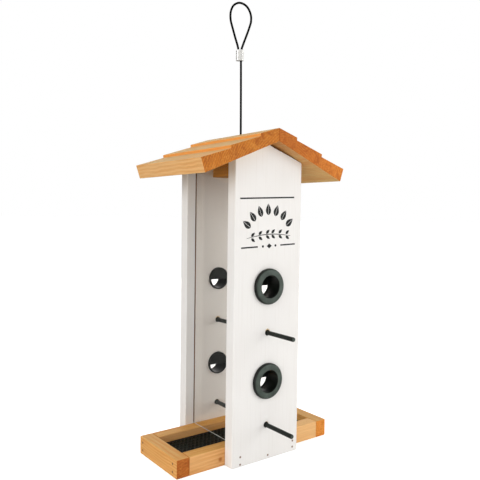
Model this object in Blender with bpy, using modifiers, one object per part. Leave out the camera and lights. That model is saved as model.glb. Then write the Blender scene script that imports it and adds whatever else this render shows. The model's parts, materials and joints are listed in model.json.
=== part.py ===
# A hanging bird feeder: two painted gabled walls joined by a cedar tray, clear side panes that slide in
# saw kerfs, four plastic seed ports, two perch rods and a cedar roof that slides up its hanging cable.
# Units are metres. +Z is up, -Y is the front, and the origin is on the ground under the cable.

import math

import bmesh
import bpy
from mathutils import Matrix, Vector

GAP = 0.0003  # between pieces that touch

WALL_WIDTH = 0.0889
WALL_THICK = 0.0127
SHOULDER_HEIGHT = 0.3170
PEAK_HEIGHT = 0.3343

TRAY_LENGTH = 0.2032
TRAY_DEPTH = 0.0778
RAIL_THICK = 0.0143
RAIL_HEIGHT = 0.01905

SCREEN_TOP = 0.0106
SCREEN_THICK = 0.0010
SCREEN_TUCK = 0.0037  # how far the screen reaches into the rails

PANE_OFFSET = 0.03245  # from the middle to the pane's own middle
PANE_THICK = 0.0020
PANE_TUCK = 0.0035
PANE_TOP = 0.3100
KERF_DEPTH = 0.0040

PORT_HEIGHTS = {"upper": 0.1853, "lower": 0.0850}
PORT_FLANGE_RADIUS = 0.0190
PORT_FLANGE_DEPTH = 0.0045
PORT_TUBE_RADIUS = 0.0127
PORT_BORE_RADIUS = 0.0118
PORT_TUBE_DEPTH = 0.0150
PORT_HOOD_THICK = 0.0012
PORT_HOOD_EDGE = -0.0008  # the hood's flat lower edge, from the port's middle
PORT_MOUTH_RADIUS = 0.0113

PERCH_HEIGHTS = {"upper": 0.1362, "lower": 0.0376}
PERCH_RADIUS = 0.0023
PERCH_REACH = 0.0935  # from the middle to a perch's end
BUSH_RADIUS = 0.0030
BUSH_PROUD = 0.0004

BLOCK_WIDTH = 0.0190
BLOCK_BOTTOM = 0.3028

ROOF_HALF_DEPTH = 0.0663
RIDGE_HEIGHT = 0.3494
RIDGE_UNDERSIDE = 0.3356
EAVE_TOP = (0.0949, 0.3130)
EAVE_BOTTOM = (0.0901, 0.2988)
# Each shingle step: its lip's top and its lip's foot, as distance from the ridge and height.
SHINGLE_STEPS = (((0.0613, 0.3268), (0.0606, 0.3239)), ((0.0246, 0.3416), (0.0244, 0.3387)))
ROOF_HOLE_RADIUS = 0.0026

CABLE_RADIUS = 0.0012
WASHER_RADIUS = 0.0045
WASHER_THICK = 0.0010
STOP_RADIUS = 0.0026
STOP_LENGTH = 0.0060
LOOP_TURN = math.radians(-37)  # the loop's plane, turned from the front about the cable
FERRULE_BOTTOM = 0.4300
FERRULE_LENGTH = 0.0117
FERRULE_MIDDLE = -0.0022  # along the loop's plane, from the cable's axis
FERRULE_SIZE = (0.0085, 0.0050)
FERRULE_SLOT = (0.0066, 0.0031)

# The cable's middle line in the loop's plane: distance from the axis, and height. It rises from the stop
# through block and roof, leans a little, passes the ferrule, makes the loop and ends inside the ferrule.
CABLE_ROUTE = (
    (0.0, 0.2944), (0.0, 0.3100), (0.0, 0.3250), (0.0, 0.3400), (-0.0002, 0.3650), (-0.0005, 0.3950),
    (-0.0008, 0.4200), (-0.0009, 0.4300), (-0.0006, 0.4415), (0.0012, 0.4478), (0.0055, 0.4595),
    (0.0090, 0.4701), (0.0097, 0.4751), (0.0093, 0.4798), (0.0077, 0.4844), (0.0049, 0.4889),
    (0.0009, 0.4922), (-0.0036, 0.4934), (-0.0078, 0.4921), (-0.0108, 0.4889), (-0.0127, 0.4841),
    (-0.0132, 0.4795), (-0.0128, 0.4739), (-0.0114, 0.4684), (-0.0094, 0.4615), (-0.0075, 0.4549),
    (-0.0049, 0.4466), (-0.0040, 0.4415), (-0.0037, 0.4313),
)
CABLE_SPACING = 0.0050  # between the tube's points

NAIL_RADIUS = 0.0008
WALL_NAIL_LENGTH = 0.0220
TRAY_NAIL_LENGTH = 0.0280
# Where the nails go in, in each wall's face (across, up) and in each end rail's face (back, up).
WALL_NAILS = ((-0.0337, 0.0106), (-0.0338, 0.0027), (0.0030, 0.0041), (0.0379, 0.0049), (0.0381, 0.0117))
TRAY_NAILS = {"front": ((-0.0308, 0.0132), (-0.0308, 0.0050)), "back": ((0.0330, 0.0132), (0.0330, 0.0050))}

EDGE_CHAMFER = 0.0005
TURNED_STEPS = 32
SIDES = {"front": -1, "back": 1}
ENDS = {"left": -1, "right": 1}

WALL_INNER = TRAY_DEPTH / 2 + GAP
WALL_OUTER = WALL_INNER + WALL_THICK
TRAY_INNER_LENGTH = TRAY_LENGTH / 2 - RAIL_THICK  # half of it
TRAY_INNER_DEPTH = TRAY_DEPTH / 2 - RAIL_THICK  # half of it
BLOCK_TOP = BLOCK_BOTTOM + BLOCK_WIDTH


# Scene, collections and materials

def clear_scene():
    for obj in list(bpy.data.objects):
        bpy.data.objects.remove(obj, do_unlink=True)


def new_collection(name):
    collection = bpy.data.collections.new(name)
    bpy.context.scene.collection.children.link(collection)
    return collection


def new_material(name, colour, roughness, metallic=0.0, transmission=0.0):
    material = bpy.data.materials.new(name)
    material.use_nodes = True
    shader = material.node_tree.nodes["Principled BSDF"]
    shader.inputs["Base Color"].default_value = (*colour, 1.0)
    shader.inputs["Roughness"].default_value = roughness
    shader.inputs["Metallic"].default_value = metallic
    shader.inputs["Transmission Weight"].default_value = transmission
    material.diffuse_color = (*colour, 1.0)
    return material


# Shapes

def add_object(name, mesh, location=(0, 0, 0), rotation=(0, 0, 0)):
    """A node of the feeder, at that place."""
    obj = bpy.data.objects.new(name, mesh)
    obj.location = location
    obj.rotation_euler = rotation
    parts.objects.link(obj)
    return obj


def make_cutter(obj):
    parts.objects.unlink(obj)
    cutters.objects.link(obj)
    obj.hide_render = True
    obj.display_type = "WIRE"
    return obj


def finish_mesh(name, shape):
    mesh = bpy.data.meshes.new(name)
    shape.to_mesh(mesh)
    shape.free()
    return mesh


def make_box(name, low, high):
    """A box between two corners, with its origin at its middle."""
    low, high = Vector(low), Vector(high)
    shape = bmesh.new()
    bmesh.ops.create_cube(shape, size=1.0)
    bmesh.ops.scale(shape, vec=high - low, verts=shape.verts)
    return add_object(name, finish_mesh(name, shape), (low + high) / 2)


def make_boxes(name, corners):
    """Several boxes in one cutter."""
    shape = bmesh.new()
    for low, high in corners:
        low, high = Vector(low), Vector(high)
        place = Matrix.Translation((low + high) / 2) @ Matrix.Diagonal((*(high - low), 1))
        bmesh.ops.create_cube(shape, size=1.0, matrix=place)
    return make_cutter(add_object(name, finish_mesh(name, shape)))


def add_rod(shape, start, end, radius, segments):
    """A cylinder between two points."""
    start, end = Vector(start), Vector(end)
    turn = (end - start).to_track_quat("Z", "Y").to_matrix().to_4x4()
    bmesh.ops.create_cone(
        shape, cap_ends=True, segments=segments, radius1=radius, radius2=radius,
        depth=(end - start).length, matrix=Matrix.Translation((start + end) / 2) @ turn,
    )


def make_rods(name, ends, radius, segments):
    """Several cylinders in one cutter."""
    shape = bmesh.new()
    for start, end in ends:
        add_rod(shape, start, end, radius, segments)
    return make_cutter(add_object(name, finish_mesh(name, shape)))


def make_rod(name, start, end, radius, segments):
    """A cylinder that is a node, with its origin at its middle."""
    start, end = Vector(start), Vector(end)
    middle = (start + end) / 2
    shape = bmesh.new()
    add_rod(shape, start - middle, end - middle, radius, segments)
    obj = add_object(name, finish_mesh(name, shape), middle)
    obj.data.shade_smooth()
    obj.data.set_sharp_from_angle(angle=math.radians(40))
    return obj


def make_board(name, outlines, thickness, location, rotation):
    """Flat outlines of (x, y) points, filled and extruded through the thickness. A second one is a hole."""
    curve = bpy.data.curves.new(name, "CURVE")
    curve.dimensions = "2D"
    curve.fill_mode = "BOTH"
    curve.extrude = thickness / 2
    for outline in outlines:
        spline = curve.splines.new("POLY")
        spline.points.add(len(outline) - 1)
        spline.use_cyclic_u = True
        for point, (x, y) in zip(spline.points, outline):
            point.co = (x, y, 0, 1)
    guide = add_object(name + "_outline", curve)
    bpy.context.view_layer.update()
    mesh = bpy.data.meshes.new_from_object(guide.evaluated_get(bpy.context.evaluated_depsgraph_get()))
    bpy.data.objects.remove(guide)
    bpy.data.curves.remove(curve)
    shape = bmesh.new()
    shape.from_mesh(mesh)
    bmesh.ops.remove_doubles(shape, verts=shape.verts, dist=1e-6)
    bmesh.ops.dissolve_limit(shape, angle_limit=math.radians(1), verts=shape.verts, edges=shape.edges)
    bmesh.ops.recalc_face_normals(shape, faces=shape.faces)
    bpy.data.meshes.remove(mesh)
    return add_object(name, finish_mesh(name, shape), location, rotation)


def make_turned(name, profile, location, rotation=(0, 0, 0), steps=TURNED_STEPS):
    """A profile of (radius, height) points turned about the object's own Z. It runs down its outer side."""
    closed = profile[0][0] > 0
    shape = bmesh.new()
    points = [shape.verts.new((radius, 0, height)) for radius, height in profile]
    for here, there in zip(points, points[1:] + points[:1] * closed):
        shape.edges.new((here, there))
    obj = add_object(name, finish_mesh(name, shape), location, rotation)
    screw = obj.modifiers.new("Turn", "SCREW")
    screw.steps = screw.render_steps = steps
    screw.use_merge_vertices = True
    screw.merge_threshold = 0.00001
    screw.use_smooth_shade = True
    return obj


def chamfer(obj, width=EDGE_CHAMFER, segments=1):
    bevel = obj.modifiers.new("Chamfer", "BEVEL")
    bevel.width = width
    bevel.segments = segments
    bevel.limit_method = "ANGLE"
    bevel.angle_limit = math.radians(50)


def cut(obj, *tools):
    for tool in tools:
        boolean = obj.modifiers.new("Cut " + tool.name, "BOOLEAN")
        boolean.operation = "DIFFERENCE"
        boolean.solver = "EXACT"
        boolean.object = tool


def facing(side):
    """Turns an object whose own Z points out of the wall, and whose own Y points up."""
    return (math.pi / 2, 0, 0 if side < 0 else math.pi)


def arc(centre, radius, start, end, steps):
    """Points on an arc, from one angle to another, in degrees."""
    turns = [math.radians(start + (end - start) * i / steps) for i in range(steps + 1)]
    return [(centre[0] + radius * math.cos(t), centre[1] + radius * math.sin(t)) for t in turns]


def stadium(length, width, middle, steps=6):
    """An outline with two straight sides and round ends."""
    reach = (length - width) / 2
    right = arc((middle + reach, 0), width / 2, -90, 90, steps)
    left = arc((middle - reach, 0), width / 2, 90, 270, steps)
    return right + left


# Shared cutters

def wall_nail_ends(side, extra=0.0):
    """Where each nail of a wall starts and ends."""
    head, point = WALL_OUTER + extra, WALL_OUTER - WALL_NAIL_LENGTH - extra
    return [((x, side * head, z), (x, side * point, z)) for x, z in WALL_NAILS]


def tray_nail_ends(end, nails, extra=0.0):
    head, point = TRAY_LENGTH / 2 + extra, TRAY_LENGTH / 2 - TRAY_NAIL_LENGTH - extra
    return [((end * head, y, z), (end * point, y, z)) for y, z in nails]


def make_wall_nail_holes(name, side):
    return make_rods(name + "_wall_nail_holes", wall_nail_ends(side, GAP), NAIL_RADIUS + GAP, 12)


def make_tray_nail_holes(name, end):
    ends = [pair for nails in TRAY_NAILS.values() for pair in tray_nail_ends(end, nails, GAP)]
    return make_rods(name + "_tray_nail_holes", ends, NAIL_RADIUS + GAP, 12)


# Walls, panes, tray

def make_wall(name, side, nail_holes):
    half = WALL_WIDTH / 2
    outline = [(-half, 0), (half, 0), (half, SHOULDER_HEIGHT), (0, PEAK_HEIGHT), (-half, SHOULDER_HEIGHT)]
    middle = side * (WALL_INNER + WALL_THICK / 2)
    wall = make_board(name + "_wall", [outline], WALL_THICK, (0, middle, 0), facing(side))
    chamfer(wall)
    beyond = WALL_THICK
    kerf_half = PANE_THICK / 2 + GAP
    kerf_ends = sorted((side * (WALL_INNER - beyond), side * (WALL_INNER + KERF_DEPTH)))
    kerfs = make_boxes(name + "_kerfs", [
        ((end * PANE_OFFSET - kerf_half, kerf_ends[0], -beyond),
         (end * PANE_OFFSET + kerf_half, kerf_ends[1], PEAK_HEIGHT + beyond))
        for end in ENDS.values()
    ])
    across = (side * (WALL_INNER - beyond), side * (WALL_OUTER + beyond))
    port_holes = make_rods(
        name + "_port_holes", [((0, across[0], z), (0, across[1], z)) for z in PORT_HEIGHTS.values()],
        PORT_TUBE_RADIUS + GAP, TURNED_STEPS,
    )
    perch_holes = make_rods(
        name + "_perch_holes", [((0, across[0], z), (0, across[1], z)) for z in PERCH_HEIGHTS.values()],
        BUSH_RADIUS + GAP, 16,
    )
    cut(wall, kerfs, port_holes, perch_holes, nail_holes)
    return wall


def make_pane(name, end):
    reach = TRAY_DEPTH / 2 + PANE_TUCK
    return make_box(
        name + "_pane",
        (end * PANE_OFFSET - PANE_THICK / 2, -reach, RAIL_HEIGHT + GAP),
        (end * PANE_OFFSET + PANE_THICK / 2, reach, PANE_TOP),
    )


def make_screen_groove():
    """One cutter for all four rails: the screen's own space, with a gap all round."""
    reach_x = TRAY_INNER_LENGTH + SCREEN_TUCK + GAP
    reach_y = TRAY_INNER_DEPTH + SCREEN_TUCK + GAP
    bottom, top = SCREEN_TOP - SCREEN_THICK - GAP, SCREEN_TOP + GAP
    return make_boxes("screen_groove", [((-reach_x, -reach_y, bottom), (reach_x, reach_y, top))])


def make_long_rail(name, side, groove, wall_nail_holes, tray_nail_holes):
    reach = TRAY_INNER_LENGTH - GAP
    inner, outer = sorted((side * TRAY_INNER_DEPTH, side * TRAY_DEPTH / 2))
    rail = make_box(f"tray_{name}_rail", (-reach, inner, 0), (reach, outer, RAIL_HEIGHT))
    chamfer(rail)
    cut(rail, groove, wall_nail_holes, *tray_nail_holes)
    return rail


def make_end_rail(name, end, groove, nail_holes):
    inner, outer = sorted((end * TRAY_INNER_LENGTH, end * TRAY_LENGTH / 2))
    half = TRAY_DEPTH / 2
    rail = make_box(f"tray_{name}_rail", (inner, -half, 0), (outer, half, RAIL_HEIGHT))
    chamfer(rail)
    cut(rail, groove, nail_holes)
    return rail


def make_screen():
    reach_x, reach_y = TRAY_INNER_LENGTH + SCREEN_TUCK, TRAY_INNER_DEPTH + SCREEN_TUCK
    low, high = (-reach_x, -reach_y, SCREEN_TOP - SCREEN_THICK), (reach_x, reach_y, SCREEN_TOP)
    return make_box("tray_screen", low, high)


# Ports and perches

def make_port(name, side, height):
    """A flanged tube with a floor, and in the floor a half-moon mouth under a hood."""
    lip, corner = 0.0008, 0.0029
    shoulder = arc((PORT_FLANGE_RADIUS - corner, PORT_FLANGE_DEPTH - corner), corner, 90, 0, 4)
    floor = -PORT_TUBE_DEPTH
    profile = [
        (0, floor + PORT_HOOD_THICK), (PORT_BORE_RADIUS, floor + PORT_HOOD_THICK),
        (PORT_BORE_RADIUS, PORT_FLANGE_DEPTH - lip), (PORT_BORE_RADIUS + lip, PORT_FLANGE_DEPTH),
        *shoulder, (PORT_FLANGE_RADIUS, GAP), (PORT_TUBE_RADIUS, GAP), (PORT_TUBE_RADIUS, floor), (0, floor),
    ]
    place = (0, side * WALL_OUTER, height)
    port = make_turned(name, profile, place, facing(side))
    shape = bmesh.new()
    below, above = (0, 0, floor - PORT_HOOD_THICK), (0, 0, floor + 2 * PORT_HOOD_THICK)
    add_rod(shape, below, above, PORT_MOUTH_RADIUS, TURNED_STEPS)
    halved = bmesh.ops.bisect_plane(
        shape, geom=shape.verts[:] + shape.edges[:] + shape.faces[:],
        plane_co=(0, PORT_HOOD_EDGE, 0), plane_no=(0, 1, 0), clear_outer=True,
    )
    rim = [item for item in halved["geom_cut"] if isinstance(item, bmesh.types.BMEdge)]
    bmesh.ops.holes_fill(shape, edges=rim, sides=0)
    bmesh.ops.recalc_face_normals(shape, faces=shape.faces)
    mouth = add_object(name + "_mouth", finish_mesh(name + "_mouth", shape), place, facing(side))
    cut(port, make_cutter(mouth))
    return port


def make_perch(name, height):
    start, end = (0, -PERCH_REACH, height), (0, PERCH_REACH, height)
    perch = make_rod("perch_" + name, start, end, PERCH_RADIUS, 16)
    chamfer(perch, PERCH_RADIUS / 4)
    return perch


def make_bush(name, side, height):
    top, bottom = WALL_THICK / 2 + BUSH_PROUD, -WALL_THICK / 2 - BUSH_PROUD
    bore = PERCH_RADIUS + GAP
    profile = [(bore, top), (BUSH_RADIUS, top), (BUSH_RADIUS, bottom), (bore, bottom)]
    place = (0, side * (WALL_INNER + WALL_THICK / 2), height)
    return make_turned("perch_bush_" + name, profile, place, facing(side), 20)


# Roof

def make_roof_board(name, end, hole):
    """Half the roof: a board stepped like shingles above, and mitred where it meets the other half."""
    outline = [(GAP / 2, RIDGE_UNDERSIDE), EAVE_BOTTOM, EAVE_TOP]
    for lip_top, lip_foot in SHINGLE_STEPS:
        outline += [lip_foot, lip_top]
    outline.append((GAP / 2, RIDGE_HEIGHT))
    outline = [(end * x, z) for x, z in outline]
    board = make_board("roof_" + name, [outline], 2 * ROOF_HALF_DEPTH, (0, 0, 0), facing(-1))
    chamfer(board)
    cut(board, hole)
    return board


# Hanging gear

def make_block(hole):
    low = (-BLOCK_WIDTH / 2, -TRAY_DEPTH / 2, BLOCK_BOTTOM)
    high = (BLOCK_WIDTH / 2, TRAY_DEPTH / 2, BLOCK_TOP)
    block = make_box("cross_block", low, high)
    chamfer(block)
    cut(block, hole)
    return block


def make_ring(name, radius, length, top):
    """A round sleeve on the cable, under the height of its top."""
    bore = CABLE_RADIUS + GAP
    profile = [(bore, 0), (radius, 0), (radius, -length), (bore, -length)]
    return make_turned(name, profile, (0, 0, top), steps=24)


def make_ferrule():
    """The crimp that holds both legs of the loop: an oval sleeve with one oval slot."""
    outlines = [stadium(*size, FERRULE_MIDDLE) for size in (FERRULE_SIZE, FERRULE_SLOT)]
    middle = FERRULE_BOTTOM + FERRULE_LENGTH / 2
    ferrule = make_board("cable_ferrule", outlines, FERRULE_LENGTH, (0, 0, middle), (0, 0, LOOP_TURN))
    ferrule.data.shade_smooth()
    ferrule.data.set_sharp_from_angle(angle=math.radians(40))
    return ferrule


def smooth_route(points, spacing):
    """Points a spacing apart on a smooth curve through the given ones."""
    padded = [2 * points[0] - points[1], *points, 2 * points[-1] - points[-2]]
    fine = []
    for before, start, end, after in zip(padded, padded[1:], padded[2:], padded[3:]):
        for step in range(20):
            t = step / 20
            fine.append(0.5 * (
                2 * start + (end - before) * t + (2 * before - 5 * start + 4 * end - after) * t ** 2
                + (3 * start - before - 3 * end + after) * t ** 3
            ))
    fine.append(points[-1])
    lengths = [(there - here).length for here, there in zip(fine, fine[1:])]
    count = round(sum(lengths) / spacing)
    route, walked, target = [fine[0]], 0.0, 1
    for here, there, length in zip(fine, fine[1:], lengths):
        while target < count and walked + length >= target * sum(lengths) / count:
            share = (target * sum(lengths) / count - walked) / length
            route.append(here.lerp(there, share))
            target += 1
        walked += length
    route.append(fine[-1])
    return route


def make_cable():
    """The cable's tube along its route."""
    along = Vector((math.cos(LOOP_TURN), math.sin(LOOP_TURN), 0))
    points = smooth_route([along * across + Vector((0, 0, z)) for across, z in CABLE_ROUTE], CABLE_SPACING)
    curve = bpy.data.curves.new("hanging_cable", "CURVE")
    curve.dimensions = "3D"
    curve.bevel_depth = CABLE_RADIUS
    curve.bevel_resolution = 2
    curve.use_fill_caps = True
    spline = curve.splines.new("POLY")
    spline.points.add(len(points) - 1)
    for point, place in zip(spline.points, points):
        point.co = (*place, 1)
    return add_object("hanging_cable", curve)


# Assembly

def parent_to(name, place, children):
    """An empty on the moving group's axis that carries its pieces."""
    empty = bpy.data.objects.new(name, None)
    empty.location = place
    parts.objects.link(empty)
    bpy.context.view_layer.update()
    for child in children:
        child.parent = empty
        child.matrix_parent_inverse = Matrix.Translation(-Vector(place))


def paint(material, *pieces):
    for piece in pieces:
        piece.data.materials.append(material)


clear_scene()
parts = new_collection("hanging_bird_feeder")
cutters = new_collection("cutters")

painted_wood = new_material("painted_wood", (0.84, 0.81, 0.78), 0.55)
cedar = new_material("cedar", (0.70, 0.36, 0.13), 0.65)
roof_cedar = new_material("roof_cedar", (0.62, 0.25, 0.07), 0.65)
clear_acrylic = new_material("clear_acrylic", (0.95, 0.96, 0.96), 0.05, transmission=0.95)
black_plastic = new_material("black_plastic", (0.012, 0.018, 0.015), 0.35)
black_mesh = new_material("black_mesh", (0.010, 0.014, 0.012), 0.5)
black_vinyl = new_material("black_vinyl", (0.010, 0.012, 0.010), 0.4)
bright_crimp = new_material("bright_crimp", (0.80, 0.80, 0.80), 0.25, 1.0)
brown_steel = new_material("brown_steel", (0.12, 0.06, 0.03), 0.5, 0.8)

groove_cutter = make_screen_groove()
tray_holes = {name: make_tray_nail_holes(name, end) for name, end in ENDS.items()}
fixed = []

for wall_name, wall_side in SIDES.items():
    wall_holes = make_wall_nail_holes(wall_name, wall_side)
    wall_piece = make_wall(wall_name, wall_side, wall_holes)
    rail_piece = make_long_rail(wall_name, wall_side, groove_cutter, wall_holes, tray_holes.values())
    paint(painted_wood, wall_piece)
    paint(cedar, rail_piece)
    fixed += [wall_piece, rail_piece]
    for number, (head_place, point_place) in enumerate(wall_nail_ends(wall_side), 1):
        nail = make_rod(f"wall_nail_{wall_name}_{number}", head_place, point_place, NAIL_RADIUS, 12)
        paint(brown_steel, nail)
        fixed.append(nail)
    for level in PORT_HEIGHTS:
        port_piece = make_port(f"port_{wall_name}_{level}", wall_side, PORT_HEIGHTS[level])
        bush_piece = make_bush(f"{wall_name}_{level}", wall_side, PERCH_HEIGHTS[level])
        paint(black_plastic, port_piece, bush_piece)
        fixed += [port_piece, bush_piece]

for end_name, end_side in ENDS.items():
    rail_piece = make_end_rail(end_name, end_side, groove_cutter, tray_holes[end_name])
    paint(cedar, rail_piece)
    fixed.append(rail_piece)
    for corner_name, corner_nails in TRAY_NAILS.items():
        corner_ends = tray_nail_ends(end_side, corner_nails)
        for level, (head_place, point_place) in zip(("upper", "lower"), corner_ends):
            nail_name = f"tray_nail_{corner_name}_{end_name}_{level}"
            nail = make_rod(nail_name, head_place, point_place, NAIL_RADIUS, 12)
            paint(brown_steel, nail)
            fixed.append(nail)
    pane_piece = make_pane(end_name, end_side)
    paint(clear_acrylic, pane_piece)

screen_piece = make_screen()
paint(black_mesh, screen_piece)
fixed.append(screen_piece)

for level, perch_height in PERCH_HEIGHTS.items():
    perch_piece = make_perch(level, perch_height)
    paint(black_plastic, perch_piece)
    fixed.append(perch_piece)

block_hole_span = ((0, 0, BLOCK_BOTTOM - BLOCK_WIDTH), (0, 0, BLOCK_TOP + BLOCK_WIDTH))
block_hole = make_rods("block_hole", [block_hole_span], CABLE_RADIUS + GAP, 16)
block_piece = make_block(block_hole)
washer_top = BLOCK_BOTTOM - GAP
washer_piece = make_ring("cable_washer", WASHER_RADIUS, WASHER_THICK, washer_top)
stop_piece = make_ring("cable_stop", STOP_RADIUS, STOP_LENGTH, washer_top - WASHER_THICK - GAP)
ferrule_piece = make_ferrule()
cable_piece = make_cable()
paint(cedar, block_piece)
paint(bright_crimp, washer_piece, stop_piece, ferrule_piece)
paint(black_vinyl, cable_piece)
fixed += [block_piece, washer_piece, stop_piece, ferrule_piece, cable_piece]

roof_hole_span = ((0, 0, EAVE_BOTTOM[1]), (0, 0, RIDGE_HEIGHT + WALL_THICK))
roof_hole = make_rods("roof_hole", [roof_hole_span], ROOF_HOLE_RADIUS, 24)
roof_pieces = [make_roof_board(name, end, roof_hole) for name, end in ENDS.items()]
paint(roof_cedar, *roof_pieces)

parent_to("hopper_body", (0, 0, 0), fixed)
parent_to("roof_slide", (0, 0, RIDGE_UNDERSIDE), roof_pieces)
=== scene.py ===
# Looks of the hanging bird feeder: white painted gable walls, clear side panes, black seed ports and
# perches, a screened cedar tray, a stepped cedar roof and a looped cable. It is built round the CAD frame.
import json
import math

import bmesh
import bpy
from mathutils import Matrix, Vector


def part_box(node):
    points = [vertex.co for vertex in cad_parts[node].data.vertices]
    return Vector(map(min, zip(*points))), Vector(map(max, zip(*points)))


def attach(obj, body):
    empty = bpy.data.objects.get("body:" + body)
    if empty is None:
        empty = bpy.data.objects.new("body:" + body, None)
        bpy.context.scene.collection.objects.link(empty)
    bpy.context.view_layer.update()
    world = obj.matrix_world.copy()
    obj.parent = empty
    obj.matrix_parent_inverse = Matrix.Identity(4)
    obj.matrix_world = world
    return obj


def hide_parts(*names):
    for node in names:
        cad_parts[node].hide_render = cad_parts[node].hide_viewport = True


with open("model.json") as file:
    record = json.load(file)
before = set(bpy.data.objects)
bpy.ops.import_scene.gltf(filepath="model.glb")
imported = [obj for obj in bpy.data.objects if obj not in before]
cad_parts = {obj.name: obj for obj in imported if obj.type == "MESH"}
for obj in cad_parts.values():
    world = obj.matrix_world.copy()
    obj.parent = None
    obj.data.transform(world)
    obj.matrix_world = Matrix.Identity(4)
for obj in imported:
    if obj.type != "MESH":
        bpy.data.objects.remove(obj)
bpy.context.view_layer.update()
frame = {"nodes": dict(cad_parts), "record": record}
print("frame loaded:", len(frame["nodes"]), "nodes")

mm = 0.001
bodies = frame["record"]["behaviour"]["bodies"]
bodyOfNode = {node: body for body, nodes in bodies.items() for node in nodes}
sides = {"front": -1, "back": 1}
ends = {"left": -1, "right": 1}


def hexColour(code):
    channels = [int(code[i:i + 2], 16) / 255 for i in (0, 2, 4)]
    return (*[c / 12.92 if c <= 0.04045 else ((c + 0.055) / 1.055) ** 2.4 for c in channels], 1.0)


def connect(tree, node, links):
    # links: socket name or number -> a socket, a node (its first enabled output) or a plain value.
    # A list stands for the node's inputs in their order.
    for socket, value in links.items() if isinstance(links, dict) else enumerate(links):
        if isinstance(value, bpy.types.Node):
            value = next(output for output in value.outputs if output.enabled)
        if isinstance(value, bpy.types.NodeSocket):
            tree.links.new(value, node.inputs[socket])
        else:
            node.inputs[socket].default_value = value


def addNode(tree, kind, links=(), **settings):
    node = tree.nodes.new("ShaderNode" + kind)
    for name, value in settings.items():
        setattr(node, name, value)
    connect(tree, node, links)
    return node


def newMaterial(name, **sockets):
    # A Principled material with its constants on the shader's own sockets. Its patterns start from the
    # object's own coordinates and its normals.
    material = bpy.data.materials.new(name)
    material.use_nodes = True
    tree = material.node_tree
    shader = tree.nodes["Principled BSDF"]
    for socket, value in sockets.items():
        shader.inputs[socket.replace("_", " ")].default_value = value
    coords = addNode(tree, "TexCoord")
    return material, tree, shader, coords.outputs["Object"], coords.outputs["Normal"]


def finishPiece(name, shape, material, nodes, smooth=30, weighted=False):
    # A bmesh becomes a piece that rides on the body of the first of those CAD nodes
    mesh = bpy.data.meshes.new(name)
    shape.to_mesh(mesh)
    shape.free()
    return finishMesh(name, mesh, material, nodes, smooth, weighted)


def finishMesh(name, mesh, material, nodes, smooth=30, weighted=False):
    mesh.shade_smooth()
    mesh.set_sharp_from_angle(angle=math.radians(smooth))
    mesh.materials.clear()
    mesh.materials.append(material)
    piece = bpy.data.objects.new(name, mesh)
    bpy.context.scene.collection.objects.link(piece)
    if weighted:
        normals = piece.modifiers.new("Flat faces stay flat", "WEIGHTED_NORMAL")
        normals.keep_sharp = True
    if isinstance(nodes, str):
        nodes = [nodes]
    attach(piece, bodyOfNode[nodes[0]])
    return piece


def looseObject(name, shape):
    mesh = bpy.data.meshes.new(name)
    shape.to_mesh(mesh)
    shape.free()
    obj = bpy.data.objects.new(name, mesh)
    bpy.context.scene.collection.objects.link(obj)
    return obj


def cutMesh(shape, cutters):
    # The shape with every cutter taken out of it, as a new mesh
    work = looseObject("work", shape)
    tools = [looseObject("tool", cutter) for cutter in cutters]
    for tool in tools:
        boolean = work.modifiers.new("cut", "BOOLEAN")
        boolean.operation = "DIFFERENCE"
        boolean.solver = "EXACT"
        boolean.object = tool
    bpy.context.view_layer.update()
    mesh = bpy.data.meshes.new_from_object(work.evaluated_get(bpy.context.evaluated_depsgraph_get()))
    for obj in [work, *tools]:
        oldMesh = obj.data
        bpy.data.objects.remove(obj)
        bpy.data.meshes.remove(oldMesh)
    return mesh


def boxShape(low, high, edge=0.0, segments=3):
    # A box between two corners with its edges rounded
    low, high = Vector(low), Vector(high)
    shape = bmesh.new()
    bmesh.ops.create_cube(shape, size=1.0)
    bmesh.ops.scale(shape, vec=high - low, verts=shape.verts)
    bmesh.ops.translate(shape, vec=(low + high) / 2, verts=shape.verts)
    if edge:
        roundEdges(shape, edge, segments)
    return shape


def roundEdges(shape, edge, segments=3):
    bmesh.ops.bevel(
        shape, geom=shape.edges[:], offset=edge, offset_type="OFFSET", affect="EDGES",
        segments=segments, profile=0.5, material=-1, clamp_overlap=True,
    )


def prismShape(outline, start, end, edge):
    # An outline of (x, z) points, extruded along Y with its edges rounded
    shape = bmesh.new()
    face = shape.faces.new([shape.verts.new((x, start, z)) for x, z in outline])
    grown = bmesh.ops.extrude_face_region(shape, geom=[face])
    moved = [item for item in grown["geom"] if isinstance(item, bmesh.types.BMVert)]
    bmesh.ops.translate(shape, vec=(0, end - start, 0), verts=moved)
    bmesh.ops.recalc_face_normals(shape, faces=shape.faces)
    roundEdges(shape, edge)
    return shape


def rodShape(start, end, radius, segments):
    start, end = Vector(start), Vector(end)
    turn = (end - start).to_track_quat("Z", "Y").to_matrix().to_4x4()
    shape = bmesh.new()
    bmesh.ops.create_cone(
        shape, cap_ends=True, segments=segments, radius1=radius, radius2=radius,
        depth=(end - start).length, matrix=Matrix.Translation((start + end) / 2) @ turn,
    )
    return shape


def turnedShape(profile, place, outward, steps=72):
    # (radius, height) points spun round an axis that starts at place and points outward
    shape = bmesh.new()
    points = [shape.verts.new((radius, 0, height)) for radius, height in profile]
    closed = profile[0][0] > 0
    edges = [shape.edges.new(pair) for pair in zip(points, points[1:] + points[:1] * closed)]
    bmesh.ops.spin(
        shape, geom=points + edges, cent=(0, 0, 0), axis=(0, 0, 1), angle=math.tau, steps=steps,
        use_merge=True,
    )
    bmesh.ops.remove_doubles(shape, verts=shape.verts, dist=1e-6)
    turn = Vector(outward).to_track_quat("Z", "Y").to_matrix().to_4x4()
    bmesh.ops.transform(shape, matrix=Matrix.Translation(place) @ turn, verts=shape.verts)
    bmesh.ops.recalc_face_normals(shape, faces=shape.faces)
    return shape


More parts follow.
